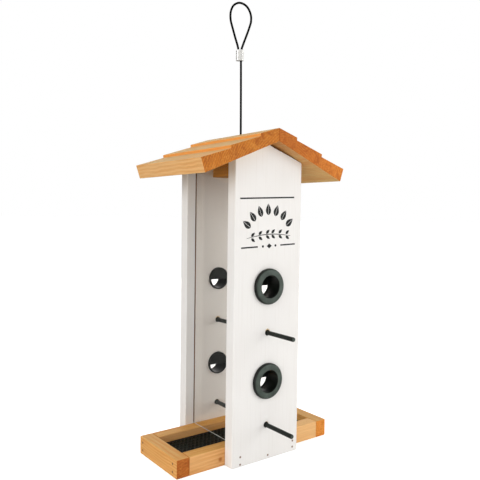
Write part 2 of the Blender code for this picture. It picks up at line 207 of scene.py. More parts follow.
def arcPoints(centre, radius, start, end, steps):
    turns = [math.radians(start + (end - start) * i / steps) for i in range(steps + 1)]
    return [(centre[0] + radius * math.cos(t), centre[1] + radius * math.sin(t)) for t in turns]


def bothEnds(node):
    low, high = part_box(node)
    return Vector(low), Vector(high)


view = {
    "place": (-0.3840, -0.5156, 0.2605),
    "azimuth": -36.74,
    "elevation": 2.55,
    "roll": 0.78,
    "lens": 43.07,
}


def makeCamera():
    azimuth, elevation, roll = (math.radians(view[name]) for name in ("azimuth", "elevation", "roll"))
    back = Vector((
        math.sin(azimuth) * math.cos(elevation),
        -math.cos(azimuth) * math.cos(elevation),
        math.sin(elevation),
    ))
    right = Vector((0, 0, 1)).cross(back).normalized()
    up = back.cross(right)
    rolledRight = right * math.cos(roll) + up * math.sin(roll)
    rolledUp = up * math.cos(roll) - right * math.sin(roll)
    data = bpy.data.cameras.new("camera")
    data.lens = view["lens"]
    data.sensor_width = 36
    data.clip_start = 0.01
    camera = bpy.data.objects.new("camera", data)
    axes = Matrix((rolledRight, rolledUp, back)).transposed().to_4x4()
    camera.matrix_world = Matrix.Translation(view["place"]) @ axes
    bpy.context.scene.collection.objects.link(camera)
    bpy.context.scene.camera = camera


makeCamera()
print("camera placed")


def nailStain(tree, place, nails, reach):
    # 1 on a nail head and fading out round it, where its rust has bled
    stain = None
    for nail in nails:
        low, high = bothEnds(nail)
        middle, size = (low + high) / 2, high - low
        away = addNode(tree, "VectorMath", [place, middle], operation="SUBTRACT")
        # measured across the nail only
        keep = [0.0 if length == max(size) else 1.0 for length in size]
        flat = addNode(tree, "VectorMath", [away, keep], operation="MULTIPLY")
        gap = addNode(tree, "VectorMath", [flat], operation="LENGTH")
        disc = addNode(tree, "MapRange", [gap, min(size) / 2, min(size) / 2 + reach, 1.0, 0.0])
        stain = disc if stain is None else addNode(tree, "Math", [stain, disc], operation="MAXIMUM")
    return stain


# Western red cedar with a clear satin sealer. Planed faces show soft straight grain, because the growth
# rings are sliced along; the ends show the rings themselves and drink more sealer, so they are darker.
cedarLooks = {
    "trayLongCedar": {
        "along": 0, "heart": (0.070, -0.110), "light": "ECB475", "dark": "D08A42", "flat": "DBA75F",
        "endLight": "CB7A35", "endDark": "A9581F", "endGold": "D9964A", "ring": 3.2 * mm, "ringShare": 0.5,
        "knots": [((-0.0497, -0.0389, 0.0077), 3.4 * mm), ((0.0610, 0.0389, 0.0120), 3.0 * mm)],
        "zone": (0.035, 0.060, "FFCF90", 0.55),
    },
    "trayLeftCedar": {
        "along": 1, "heart": (-0.060, -0.060), "light": "E8AE66", "dark": "D58F47", "flat": "DBAA64",
        "endLight": "BE6A29", "endDark": "984C17", "endGold": "D0843A", "ring": 2.8 * mm, "ringShare": 0.7,
        "knots": [], "nails": "left",
    },
    "trayRightCedar": {
        "along": 1, "heart": (0.080, -0.070), "light": "E8AE66", "dark": "D58F47", "flat": "DBAA64",
        "endLight": "E7913A", "endDark": "CA7222", "endGold": "EDA652", "ring": 2.8 * mm, "ringShare": 0.5,
        "knots": [], "nails": "right",
    },
    # the roof boards' paler underside colour is painted light, standing in for light from below
    "roofLeftCedar": {
        "along": 1, "heart": (0.050, 0.268), "light": "F2BE80", "dark": "E2A25E", "flat": "C9AA72",
        "endLight": "CB7A28", "endDark": "A05014", "endGold": "DA9642", "ring": 2.6 * mm, "ringShare": 0.9,
        "knots": [], "riser": "EA9844", "under": "E3BF7C",
    },
    "roofRightCedar": {
        "along": 1, "heart": (0.010, 0.290), "light": "E8A660", "dark": "D98C44", "flat": "C9AA72",
        "endLight": "DA802E", "endDark": "AE5818", "endGold": "EA9A42", "ring": 2.6 * mm, "ringShare": 0.7,
        "knots": [], "riser": "E8933F", "under": "E3BF7C", "zone": (0.075, 0.020, "A04E12", 0.5),
    },
    "blockCedar": {
        "along": 1, "heart": (0.030, 0.260), "light": "DC9542", "dark": "B5742E", "flat": "BE823C",
        "endLight": "A86A34", "endDark": "7C4A20", "endGold": "B87C3C", "ring": 2.6 * mm, "ringShare": 0.7,
        "knots": [],
    },
}
riserFrom = 0.318       # the roof's step faces are all above this, the eave faces below


def makeCedar(name):
    look = cedarLooks[name]
    material, tree, shader, place, facing = newMaterial(name, IOR=1.5, Specular_IOR_Level=0.15)
    split = addNode(tree, "SeparateXYZ", [place])
    across = [axis for axis in (0, 1, 2) if axis != look["along"]]
    # board frame: Z runs along the grain, and the tree's heart is the Z axis
    moved = [
        addNode(tree, "Math", [split.outputs[axis], -offset], operation="ADD")
        for axis, offset in zip(across, look["heart"])
    ]
    board = addNode(tree, "CombineXYZ", [moved[0], moved[1], split.outputs[look["along"]]])
    # knots push the grain aside and show as darker discs
    knotMask = None
    for centre, size in look["knots"]:
        away = addNode(tree, "VectorMath", [place, centre], operation="DISTANCE")
        disc = addNode(
            tree, "MapRange", [away, 0.25 * size, size, 1.0, 0.0], interpolation_type="SMOOTHSTEP",
        )
        knotMask = disc if knotMask is None else addNode(
            tree, "Math", [knotMask, disc], operation="MAXIMUM",
        )
    # the rings wander by about 2 mm over 50 mm of board
    slow = addNode(tree, "VectorMath", [board, (1, 1, 0.3)], operation="MULTIPLY")
    wander = addNode(
        tree, "TexNoise", {"Vector": slow, "Scale": 1 / 0.035, "Detail": 2.0, "Roughness": 0.5},
    )
    shift = addNode(tree, "VectorMath", [wander.outputs["Color"], (-0.5, -0.5, -0.5)], operation="ADD")
    shift = addNode(tree, "VectorMath", [shift, (0.010, 0.010, 0.0)], operation="MULTIPLY")
    warped = addNode(tree, "VectorMath", [board, shift], operation="ADD")
    if knotMask:
        push = addNode(tree, "VectorMath", [knotMask, (0.004, 0.004, 0.0)], operation="MULTIPLY")
        warped = addNode(tree, "VectorMath", [warped, push], operation="ADD")
    # growth rings, about 3 mm apart: real cedar's are about 1.5 mm, and would not show at this size.
    # They come and go along the board, as the saw meets them.
    rings = addNode(tree, "TexWave", {
        "Vector": warped, "Scale": math.tau / 20 / look["ring"], "Distortion": 2.2, "Detail": 3.0,
        "Detail Scale": 0.35, "Detail Roughness": 0.7,
    }, wave_type="RINGS", rings_direction="Z", wave_profile="SIN")
    patches = addNode(tree, "TexNoise", {"Vector": slow, "Scale": 1 / 0.022, "Detail": 2.0})
    ringShow = addNode(tree, "MapRange", [patches, 0.35, 0.65, 0.3 * look["ringShare"], look["ringShare"]])
    ringShare = addNode(tree, "Math", [rings, ringShow], operation="MULTIPLY")
    # fibres 0.5 mm wide and about 20 mm long, and broader streaks
    stretched = addNode(
        tree, "VectorMath", [board, (1 / 0.0005, 1 / 0.0005, 1 / 0.020)], operation="MULTIPLY",
    )
    fibres = addNode(tree, "TexNoise", {"Vector": stretched, "Scale": 1.0, "Detail": 3.0, "Roughness": 0.6})
    streaked = addNode(tree, "VectorMath", [board, (1 / 0.005, 1 / 0.005, 1 / 0.090)], operation="MULTIPLY")
    streaks = addNode(tree, "TexNoise", {"Vector": streaked, "Scale": 1.0, "Detail": 2.0, "Roughness": 0.5})
    # planed faces; those that face up or down get a colour of their own
    normal = addNode(tree, "SeparateXYZ", [facing])
    upness = addNode(tree, "Math", [normal.outputs["Z"]], operation="ABSOLUTE")
    flatMask = addNode(tree, "MapRange", [upness, 0.6, 0.85])
    faceTints = [(flatMask, look["flat"])]
    if "under" in look:
        # painted light: the undersides get a paler colour, in place of the light that reaches them from
        # below
        paintedUnderLightMask = addNode(tree, "MapRange", [normal.outputs["Z"], -0.5, -0.7])
        faceTints.append((paintedUnderLightMask, look["under"]))
    streakShare = addNode(tree, "MapRange", [streaks, 0.45, 0.75, 0.0, 0.55])
    faceTints += [(ringShare, look["dark"]), (streakShare, look["dark"])]
    if "riser" in look:
        # the step faces are a deeper orange
        high = addNode(tree, "Math", [split.outputs["Z"], riserFrom], operation="GREATER_THAN")
        steep = addNode(tree, "Math", [upness, 0.5], operation="LESS_THAN")
        riser = addNode(tree, "Math", [high, steep], operation="MULTIPLY")
        riser = addNode(tree, "Math", [riser, 0.8], operation="MULTIPLY")
        faceTints.append((riser, look["riser"]))
    # sawn ends: rings, torn fibre ends about 2 mm apart, and darker patches
    torn = addNode(tree, "TexNoise", {
        "Vector": place, "Scale": 1 / 0.0016, "Detail": 3.0, "Roughness": 0.7,
    })
    tornShare = addNode(tree, "MapRange", [torn, 0.5, 0.66, 0.0, 0.7])
    swirl = addNode(tree, "TexNoise", {
        "Vector": place, "Scale": 1 / 0.012, "Detail": 3.0, "Roughness": 0.6, "Distortion": 1.5,
    })
    soakShare = addNode(tree, "MapRange", [swirl, 0.5, 0.68, 0.0, 0.75])
    endTints = [(ringShare, look["endDark"]), (tornShare, look["endGold"]), (soakShare, look["endDark"])]
    faces = []
    for colour, tints in ((hexColour(look["light"]), faceTints), (hexColour(look["endLight"]), endTints)):
        for share, tint in tints:
            colour = addNode(
                tree, "Mix", {"Factor": share, "A": colour, "B": hexColour(tint)}, data_type="RGBA",
            )
        faces.append(colour)
    endness = addNode(tree, "Math", [normal.outputs[look["along"]]], operation="ABSOLUTE")
    endMask = addNode(tree, "MapRange", [endness, 0.45, 0.8], interpolation_type="SMOOTHSTEP")
    colour = addNode(tree, "Mix", {"Factor": endMask, "A": faces[0], "B": faces[1]}, data_type="RGBA")
    tints = []
    if knotMask:
        knotShare = addNode(tree, "Math", [knotMask, 0.75], operation="MULTIPLY")
        tints.append((knotShare, look["endDark"]))
    if "nails" in look:
        nails = [node for node in frame["nodes"] if node.startswith("tray_nail") and look["nails"] in node]
        bled = addNode(tree, "Math", [nailStain(tree, place, nails, 0.9 * mm), 0.6], operation="MULTIPLY")
        tints.append((bled, "6B3C1A"))
    if "zone" in look:
        # one end of the board is paler or darker: where that starts and ends along X, colour, strength
        start, end, tint, strength = look["zone"]
        zoneShare = addNode(tree, "MapRange", [split.outputs["X"], start, end, 0.0, strength])
        tints.append((zoneShare, tint))
    for share, tint in tints:
        colour = addNode(
            tree, "Mix", {"Factor": share, "A": colour, "B": hexColour(tint)}, data_type="RGBA",
        )
    # dark pores along the fibres
    fibreShade = addNode(tree, "MapRange", [fibres, 0.3, 0.7, 0.88, 1.06])
    colour = addNode(tree, "VectorMath", [colour, fibreShade], operation="MULTIPLY")
    gloss = addNode(tree, "MapRange", [fibres, 0.3, 0.7, 0.68, 0.5])
    # relief: fibres and rings under 0.1 mm deep
    relief = addNode(tree, "Math", [rings, 0.5, fibres], operation="MULTIPLY_ADD")
    bump = addNode(tree, "Bump", {"Height": relief, "Strength": 0.6, "Distance": 0.08 * mm})
    connect(tree, shader, {"Base Color": colour, "Roughness": gloss, "Normal": bump})
    return material


paintLook = {
    "paint": "F2EFEB", "thin": "E6E1DB", "bareWood": "9A6238", "chip": "E6CDA6", "rust": "7A4E36",
    "grainWidth": 1.4 * mm, "grainLength": 70 * mm, "kerfHalf": 1.5 * mm,
}


def makePaint():
    # White exterior latex brushed on cedar: satin, with the wood's grain telegraphing through as faint
    # vertical lines, and bare wood in the saw kerfs and round the perch holes.
    look = paintLook
    innerFace = abs(bothEnds("front_wall")[1].y)
    paneX = abs(sum(bothEnds("left_pane"), Vector()).x / 2)
    material, tree, shader, place, _ = newMaterial(
        "brushedWhiteLatexPaint", IOR=1.48, Specular_IOR_Level=0.25,
    )
    split = addNode(tree, "SeparateXYZ", [place])
    wide, long = 1 / look["grainWidth"], 1 / look["grainLength"]
    stretched = addNode(tree, "VectorMath", [place, (wide, wide, long)], operation="MULTIPLY")
    grain = addNode(tree, "TexNoise", {"Vector": stretched, "Scale": 1.0, "Detail": 4.0, "Roughness": 0.6})
    brushed = addNode(
        tree, "VectorMath", [place, (1 / 0.0006, 1 / 0.0006, 1 / 0.040)], operation="MULTIPLY",
    )
    brush = addNode(tree, "TexNoise", {"Vector": brushed, "Scale": 1.0, "Detail": 2.0})
    broad = addNode(tree, "TexNoise", {"Vector": place, "Scale": 1 / 0.060, "Detail": 1.0})
    thinShare = addNode(tree, "MapRange", [grain, 0.52, 0.78, 0.0, 0.6])
    broadShare = addNode(tree, "MapRange", [broad, 0.4, 0.7, 0.0, 0.25])
    # bare wood inside the pane's saw kerfs
    absX = addNode(tree, "Math", [split.outputs["X"]], operation="ABSOLUTE")
    absY = addNode(tree, "Math", [split.outputs["Y"]], operation="ABSOLUTE")
    nearKerf = addNode(tree, "Math", [absX, paneX, look["kerfHalf"]], operation="COMPARE")
    deepEnough = addNode(tree, "Math", [absY, innerFace + 0.25 * mm], operation="GREATER_THAN")
    notThrough = addNode(tree, "Math", [absY, innerFace + 4.4 * mm], operation="LESS_THAN")
    kerf = addNode(tree, "Math", [nearKerf, deepEnough], operation="MULTIPLY")
    kerf = addNode(tree, "Math", [kerf, notThrough], operation="MULTIPLY")
    # chipped paint round each perch hole, deepest above it
    chips = None
    ragged = addNode(tree, "TexNoise", {"Vector": place, "Scale": 1 / 0.0016, "Detail": 2.0})
    for level in ("upper", "lower"):
        low, high = bothEnds("perch_bush_front_" + level)
        height, radius = (low.z + high.z) / 2, (high.z - low.z) / 2
        flat = addNode(tree, "CombineXYZ", [split.outputs["X"], 0.0, split.outputs["Z"]])
        lift = 1.2 * mm if level == "upper" else 0.3 * mm
        away = addNode(tree, "VectorMath", [flat, (0.0, 0.0, height + lift)], operation="DISTANCE")
        reach = addNode(tree, "Math", [ragged, 1.4 * mm, radius - 0.45 * mm], operation="MULTIPLY_ADD")
        chip = addNode(tree, "Math", [away, reach], operation="LESS_THAN")
        chips = chip if chips is None else addNode(tree, "Math", [chips, chip], operation="MAXIMUM")
    nails = [node for node in frame["nodes"] if node.startswith("wall_nail")]
    bled = addNode(tree, "Math", [nailStain(tree, place, nails, 0.8 * mm), 0.55], operation="MULTIPLY")
    colour = hexColour(look["paint"])
    tints = (thinShare, "thin"), (broadShare, "thin"), (kerf, "bareWood"), (chips, "chip"), (bled, "rust")
    for share, tint in tints:
        colour = addNode(
            tree, "Mix", {"Factor": share, "A": colour, "B": hexColour(look[tint])}, data_type="RGBA",
        )
    gloss = addNode(tree, "MapRange", [brush, 0.3, 0.7, 0.42, 0.6])
    relief = addNode(tree, "Math", [brush, 0.35, grain], operation="MULTIPLY_ADD")
    bump = addNode(tree, "Bump", {"Height": relief, "Strength": 0.5, "Distance": 0.12 * mm})
    connect(tree, shader, {"Base Color": colour, "Roughness": gloss, "Normal": bump})
    return material


# Injection-moulded, powder-coated or dipped black: deep black, with a fine even grit. The lighter colour
# given for faces turned outwards, beyond the outer face of the named wall, is a painted highlight: it
# stands in for the lamps' sheen on the port flanges' faces and the perch ends.
blackLooks = {
    "mouldedBlackAbs": {
        "base": "0A0E0B", "bloom": "121713", "rough": (0.30, 0.42), "shine": 0.2, "grit": 0.25 * mm,
        "depth": 0.03 * mm, "paintedHighlight": "4F5951", "paintedHighlightFrom": "front_wall",
    },
    "powderCoatedRod": {
        "base": "101511", "bloom": "1B221D", "rough": (0.39, 0.53), "shine": 0.2, "grit": 0.35 * mm,
        "depth": 0.05 * mm, "paintedHighlight": "4A534C", "paintedHighlightFrom": "front_wall",
    },
    "mouldedBlackRubber": {
        "base": "0C0F0C", "bloom": "151915", "rough": (0.55, 0.68), "shine": 0.15, "grit": 0.3 * mm,
        "depth": 0.04 * mm,
    },
    "blackCoatedScreen": {
        "base": "0A0F0B", "bloom": "1B241D", "rough": (0.40, 0.55), "shine": 0.15, "grit": 0.4 * mm,
        "depth": 0.04 * mm,
    },
    "blackVinylCoating": {
        "base": "040504", "bloom": "090B09", "rough": (0.45, 0.58), "shine": 0.06, "grit": 0.3 * mm,
        "depth": 0.01 * mm,
    },
}


def makeBlack(name):
    look = blackLooks[name]
    material, tree, shader, place, facing = newMaterial(name, IOR=1.5, Specular_IOR_Level=look["shine"])
    blotch = addNode(tree, "TexNoise", {"Vector": place, "Scale": 1 / 0.009, "Detail": 3.0})
    share = addNode(tree, "MapRange", [blotch, 0.4, 0.75])
    colour = addNode(tree, "Mix", {
        "Factor": share, "A": hexColour(look["base"]), "B": hexColour(look["bloom"]),
    }, data_type="RGBA")
    # painted highlight: faces turned outwards beyond the wall get a lighter colour in place of the lamps'
    # sheen, patchy with the blotches
    if "paintedHighlight" in look:
        outerFace = abs(bothEnds(look["paintedHighlightFrom"])[0].y)
        split = addNode(tree, "SeparateXYZ", [place])
        normal = addNode(tree, "SeparateXYZ", [facing])
        away = addNode(tree, "Math", [split.outputs["Y"]], operation="ABSOLUTE")
        outside = addNode(tree, "Math", [away, outerFace], operation="GREATER_THAN")
        turned = addNode(tree, "Math", [normal.outputs["Y"]], operation="ABSOLUTE")
        turned = addNode(tree, "MapRange", [turned, 0.55, 0.95], interpolation_type="SMOOTHSTEP")
        highlightPatchiness = addNode(tree, "MapRange", [blotch, 0.3, 0.7, 0.5, 1.0])
        paintedHighlight = addNode(tree, "Math", [outside, turned], operation="MULTIPLY")
        paintedHighlight = addNode(tree, "Math", [paintedHighlight, highlightPatchiness], operation="MULTIPLY")
        colour = addNode(
            tree, "Mix", {"Factor": paintedHighlight, "A": colour, "B": hexColour(look["paintedHighlight"])}, data_type="RGBA",
        )
    smoothest, roughest = look["rough"]
    gloss = addNode(tree, "MapRange", [blotch, 0.3, 0.7, smoothest, roughest])
    grit = addNode(tree, "TexNoise", {"Vector": place, "Scale": 1 / look["grit"], "Detail": 2.0})
    bump = addNode(tree, "Bump", {"Height": grit, "Strength": 0.35, "Distance": look["depth"]})
    connect(tree, shader, {"Base Color": colour, "Roughness": gloss, "Normal": bump})
    return material


def makeAcrylic():
    # Cast acrylic sheet, 2 mm: clear polished faces with hair scratches, and sawn edges of a pale grey.
    # The faces' IOR is below acrylic's 1.49, so that they mirror less of the lamps.
    material, tree, shader, place, facing = newMaterial(
        "castAcrylicSheet", IOR=1.35, Transmission_Weight=1.0, Base_Color=hexColour("F8F5F2"),
        Specular_IOR_Level=0.1,
    )
    scratched = addNode(tree, "VectorMath", [place, (1.0, 1 / 0.0008, 1 / 0.050)], operation="MULTIPLY")
    scratches = addNode(tree, "TexNoise", {"Vector": scratched, "Scale": 1.0, "Detail": 3.0})
    gloss = addNode(tree, "MapRange", [scratches, 0.6, 0.8, 0.02, 0.07])
    connect(tree, shader, {"Roughness": gloss})
    edge = addNode(
        tree, "BsdfPrincipled", {"Base Color": hexColour("D5DAD6"), "Roughness": 0.35, "IOR": 1.49},
    )
    normal = addNode(tree, "SeparateXYZ", [facing])
    faceness = addNode(tree, "Math", [normal.outputs["X"]], operation="ABSOLUTE")
    edgeMask = addNode(tree, "Math", [faceness, 0.5], operation="LESS_THAN")
    body = addNode(tree, "MixShader", [edgeMask, shader.outputs[0], edge.outputs[0]])
    # lamps shine through the sheet, so that the inside is lit
    clear = addNode(tree, "BsdfTransparent", {"Color": hexColour("F4F6F5")})
    path = addNode(tree, "LightPath")
    lit = addNode(tree, "MixShader", [path.outputs["Is Shadow Ray"], body, clear])
    connect(tree, tree.nodes["Material Output"], {"Surface": lit})
    return material


def makeAluminium():
    # Drawn aluminium sleeve, bright, with lengthwise die lines 0.15 mm apart and duller patches about 2 mm
    # across
    material, tree, shader, place, _ = newMaterial("drawnAluminium", Metallic=1.0)
    drawn = addNode(
        tree, "VectorMath", [place, (1 / 0.00015, 1 / 0.00015, 1 / 0.010)], operation="MULTIPLY",
    )
    lines = addNode(tree, "TexNoise", {"Vector": drawn, "Scale": 1.0, "Detail": 2.0})
    dull = addNode(tree, "TexNoise", {"Vector": place, "Scale": 1 / 0.002, "Detail": 2.0})
    colour = addNode(
        tree, "Mix", {"Factor": dull, "A": hexColour("F2F1EE"), "B": hexColour("D9D7D2")}, data_type="RGBA",
    )
    gloss = addNode(tree, "MapRange", [dull, 0.3, 0.7, 0.34, 0.46])
    bump = addNode(tree, "Bump", {"Height": lines, "Strength": 0.3, "Distance": 0.015 * mm})
    connect(tree, shader, {"Base Color": colour, "Roughness": gloss, "Normal": bump})
    return material


def makeNailSteel():
    # Brown-coated brad: the coat is chipped to dull steel in specks about 0.3 mm across
    material, tree, shader, place, _ = newMaterial("brownCoatedSteel", IOR=1.5)
    specks = addNode(tree, "TexNoise", {"Vector": place, "Scale": 1 / 0.0003, "Detail": 2.0})
    chipped = addNode(tree, "MapRange", [specks, 0.6, 0.68])
    colour = addNode(tree, "Mix", {
        "Factor": chipped, "A": hexColour("6E4228"), "B": hexColour("94735C"),
    }, data_type="RGBA")
    metal = addNode(tree, "Math", [chipped, 0.4], operation="MULTIPLY")
    bump = addNode(tree, "Bump", {"Height": specks, "Strength": 0.3, "Distance": 0.05 * mm})
    gloss = addNode(tree, "MapRange", {"Value": specks, "To Min": 0.6, "To Max": 0.4})
    connect(tree, shader, {"Base Color": colour, "Metallic": metal, "Roughness": gloss, "Normal": bump})
    return material


def makeInk():
    # Screen-printed black enamel ink: even and matt, a little starved where the grain's low spots are
    material, tree, shader, place, _ = newMaterial("screenPrintedInk", IOR=1.5, Specular_IOR_Level=0.3)
    stretched = addNode(
        tree, "VectorMath", [place, (1 / 0.0007, 1 / 0.0007, 1 / 0.006)], operation="MULTIPLY",
    )
    starved = addNode(tree, "TexNoise", {"Vector": stretched, "Scale": 1.0, "Detail": 3.0})
    share = addNode(tree, "MapRange", [starved, 0.55, 0.75])
    colour = addNode(tree, "Mix", {
        "Factor": share, "A": hexColour("141615"), "B": hexColour("3B3E3B"),
    }, data_type="RGBA")
    gloss = addNode(tree, "MapRange", {"Value": starved, "To Min": 0.5, "To Max": 0.7})
    connect(tree, shader, {"Base Color": colour, "Roughness": gloss})
    return material


paint = makePaint()
cedar = {name: makeCedar(name) for name in cedarLooks}
black = {name: makeBlack(name) for name in blackLooks}
acrylic = makeAcrylic()
aluminium = makeAluminium()
nailSteel = makeNailSteel()
ink = makeInk()
print("materials made")


cableLook = {
    "turn": -37.0,          # the loop's plane, from the front about the cable
    "radius": 1.2 * mm,
    "strands": 6, "strandRelief": 0.02 * mm, "lay": 17 * mm, "sectionPoints": 36, "spacing": 1.0 * mm,
}
cableRoute = (
    (0.0, 0.2944), (0.0, 0.3100), (0.0, 0.3250), (0.0, 0.3400), (-0.0002, 0.3650), (-0.0005, 0.3950),
    (-0.0008, 0.4200), (-0.0009, 0.4300), (-0.0006, 0.4415), (0.0012, 0.4478), (0.0055, 0.4595),
    (0.0090, 0.4701), (0.0097, 0.4751), (0.0093, 0.4798), (0.0077, 0.4844), (0.0049, 0.4889),
    (0.0009, 0.4919), (-0.0036, 0.4931), (-0.0078, 0.4918), (-0.0108, 0.4889), (-0.0127, 0.4841),
    (-0.0132, 0.4795), (-0.0128, 0.4739), (-0.0114, 0.4684), (-0.0094, 0.4615), (-0.0075, 0.4549),
    (-0.0049, 0.4466), (-0.0040, 0.4415), (-0.0037, 0.4313),
)
loopTurn = math.radians(cableLook["turn"])
loopAlong = Vector((math.cos(loopTurn), math.sin(loopTurn), 0))


def smoothRoute(points, spacing):
    # A smooth curve through the points, cut into even steps
    padded = [2 * points[0] - points[1], *points, 2 * points[-1] - points[-2]]
    fine = []
    for before, start, end, after in zip(padded, padded[1:], padded[2:], padded[3:]):
        for step in range(20):
            t = step / 20
            fine.append(0.5 * (
                2 * start + (end - before) * t + (2 * before - 5 * start + 4 * end - after) * t ** 2
                + (3 * start - before - 3 * end + after) * t ** 3
            ))
    fine.append(points[-1])
    lengths = [(there - here).length for here, there in zip(fine, fine[1:])]
    count = round(sum(lengths) / spacing)
    route, walked, target = [fine[0]], 0.0, 1
    for here, there, length in zip(fine, fine[1:], lengths):
        while target < count and walked + length >= target * sum(lengths) / count:
            route.append(here.lerp(there, (target * sum(lengths) / count - walked) / length))
            target += 1
        walked += length
    return route + [fine[-1]], sum(lengths)


def makeCable():
    # Twisted wire rope under a vinyl coat: the strands show as six shallow ridges that wind along it
    look = cableLook
    route, length = smoothRoute(
        [loopAlong * across + Vector((0, 0, z)) for across, z in cableRoute], look["spacing"]
    )
    section = bpy.data.curves.new("strandSection", "CURVE")
    section.dimensions = "2D"
    outline = section.splines.new("POLY")
    outline.points.add(look["sectionPoints"] - 1)
    outline.use_cyclic_u = True
    for i, point in enumerate(outline.points):
        angle = math.tau * i / look["sectionPoints"]
        reach = look["radius"] - look["strandRelief"] * (0.5 - 0.5 * math.cos(look["strands"] * angle))
        point.co = (reach * math.cos(angle), reach * math.sin(angle), 0, 1)
    sectionObject = bpy.data.objects.new("strandSection", section)
    bpy.context.scene.collection.objects.link(sectionObject)
    line = bpy.data.curves.new("cableLine", "CURVE")
    line.dimensions = "3D"
    line.bevel_mode = "OBJECT"
    line.bevel_object = sectionObject
    line.use_fill_caps = True
    spline = line.splines.new("POLY")
    spline.points.add(len(route) - 1)
    for i, (point, place) in enumerate(zip(spline.points, route)):
        point.co = (*place, 1)
        point.tilt = math.tau * i * length / (len(route) - 1) / look["lay"]
    lineObject = bpy.data.objects.new("cableLine", line)
    bpy.context.scene.collection.objects.link(lineObject)
    bpy.context.view_layer.update()
    mesh = bpy.data.meshes.new_from_object(lineObject.evaluated_get(bpy.context.evaluated_depsgraph_get()))
    bpy.data.objects.remove(lineObject)
    bpy.data.objects.remove(sectionObject)
    shape = bmesh.new()
    shape.from_mesh(mesh)
    bmesh.ops.remove_doubles(shape, verts=shape.verts, dist=1e-6)
    bmesh.ops.recalc_face_normals(shape, faces=shape.faces)
    bpy.data.meshes.remove(mesh)
    cable = finishPiece(
        "hanging_cable_rope", shape, black["blackVinylCoating"], "hanging_cable", smooth=50,
    )
    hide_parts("hanging_cable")
    return cable, route, length


def stadiumLoop(shape, length, width, segments):
    # A circle pulled apart into a stadium
    made = bmesh.ops.create_circle(shape, cap_ends=False, segments=segments, radius=width / 2)
    reach = (length - width) / 2
    for vert in made["verts"]:
        vert.co.x += math.copysign(reach, vert.co.x) if abs(vert.co.x) > 1e-7 else 0


ferruleLook = {
    "middle": -2.2 * mm, "size": (8.5 * mm, 5.0 * mm), "slot": (6.6 * mm, 3.1 * mm),
    "crimps": (0.28, 0.72), "crimpDepth": 0.3 * mm, "crimpHalf": 0.13, "levels": 40, "rim": 0.35 * mm,
}


def makeFerrule():
    # The oval crimp sleeve. Two presses have pinched it across its flat sides.
    look = ferruleLook
    low, high = bothEnds("cable_ferrule")
    length = high.z - low.z
    shape = bmesh.new()
    stadiumLoop(shape, *look["size"], 64)
    stadiumLoop(shape, *look["slot"], 64)
    ring = bmesh.ops.bridge_loops(shape, edges=shape.edges)["faces"]
    for _ in range(look["levels"]):
        grown = bmesh.ops.extrude_face_region(shape, geom=ring)
        ring = [item for item in grown["geom"] if isinstance(item, bmesh.types.BMFace)]
        moved = [item for item in grown["geom"] if isinstance(item, bmesh.types.BMVert)]
        bmesh.ops.translate(shape, vec=(0, 0, length / look["levels"]), verts=moved)
    bmesh.ops.recalc_face_normals(shape, faces=shape.faces)
    slotHalf = look["slot"][1] / 2 + 0.1 * mm
    for vert in shape.verts:
        share = vert.co.z / length
        fromCrimps = [(share - crimp) / look["crimpHalf"] for crimp in look["crimps"]]
        pinch = sum(max(0.0, 1 - gap ** 2) ** 2 for gap in fromCrimps)
        edgeGap = min(vert.co.z, length - vert.co.z)
        rounding = max(0.0, 1 - edgeGap / look["rim"]) ** 2 * look["rim"] * 0.5
        if abs(vert.co.y) > slotHalf or abs(vert.co.x) > look["slot"][0] / 2 + 0.1 * mm:
            flatness = max(0.0, 1 - abs(vert.co.x) / (look["size"][0] / 2)) ** 0.5
            vert.co.y -= math.copysign(pinch * look["crimpDepth"] * flatness, vert.co.y)
            reach = Vector((vert.co.x, vert.co.y, 0)).normalized() * rounding
            vert.co -= reach
    place = Matrix.Translation(loopAlong * look["middle"] + Vector((0, 0, low.z)))
    bmesh.ops.transform(shape, matrix=place @ Matrix.Rotation(loopTurn, 4, "Z"), verts=shape.verts)
    ferrule = finishPiece(
        "cable_ferrule_crimped", shape, aluminium, "cable_ferrule", smooth=40,
    )
    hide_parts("cable_ferrule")
    return ferrule


cable, cablePath, cableLength = makeCable()
ferrule = makeFerrule()
print("cable made:", round(cableLength, 4), "m")


wallLook = {
    "edge": 0.7 * mm, "kerfDepth": 4.0 * mm, "kerfClearance": 0.3 * mm, "gap": 0.3 * mm,
    "shoulder": 7 * mm,     # the gable's shoulders above the panes' tops
    "sag": 2.0 * mm,        # how far the right slope of the gable starts below the roof, at its peak
}


